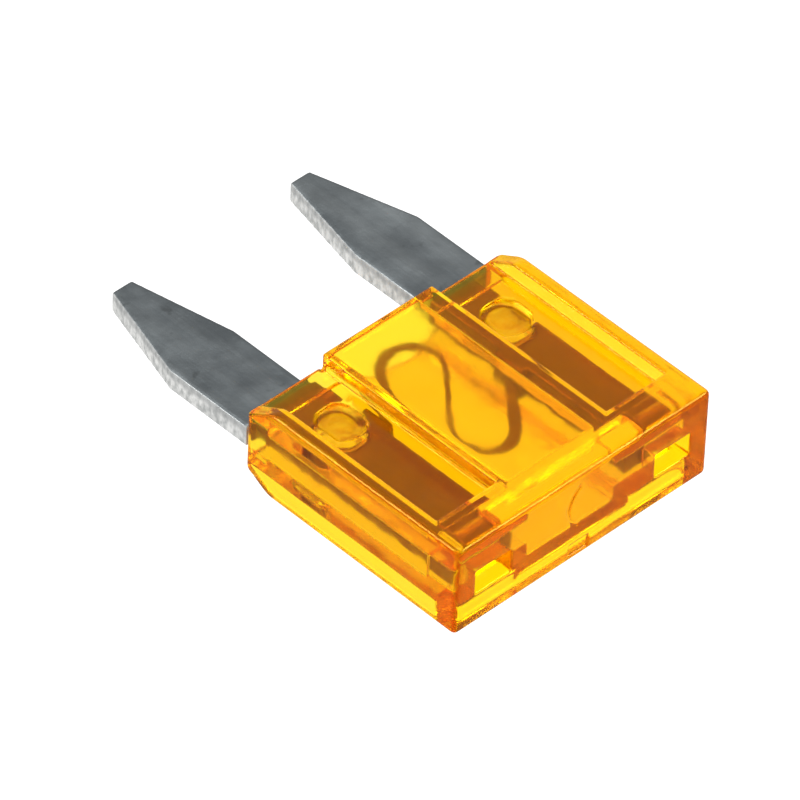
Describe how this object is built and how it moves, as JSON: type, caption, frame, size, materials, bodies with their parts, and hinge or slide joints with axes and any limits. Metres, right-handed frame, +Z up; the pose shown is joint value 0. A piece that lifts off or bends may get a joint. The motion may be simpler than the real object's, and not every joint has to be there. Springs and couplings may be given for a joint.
{
  "type": "automotive blade fuse",
  "caption": "Small plug-in vehicle fuse: clear amber plastic housing moulded around a flat zinc strip with pointed contact blades and a thin curved fuse link.",
  "frame": {"origin": "centre of the footprint, at the base", "axes": "+Z up out of the large face it lies on, +Y towards the blade tips, X across the two blades"},
  "size_m": [0.011, 0.017, 0.0036],
  "materials": {
    "housing": "clear amber moulded plastic",
    "fuse_element": "dull grey stamped zinc with pale sheared edges"
  },
  "bodies": {
    "root": {"housing": "housing", "fuse_element": "fuse_element"}
  },
  "joints": []
}
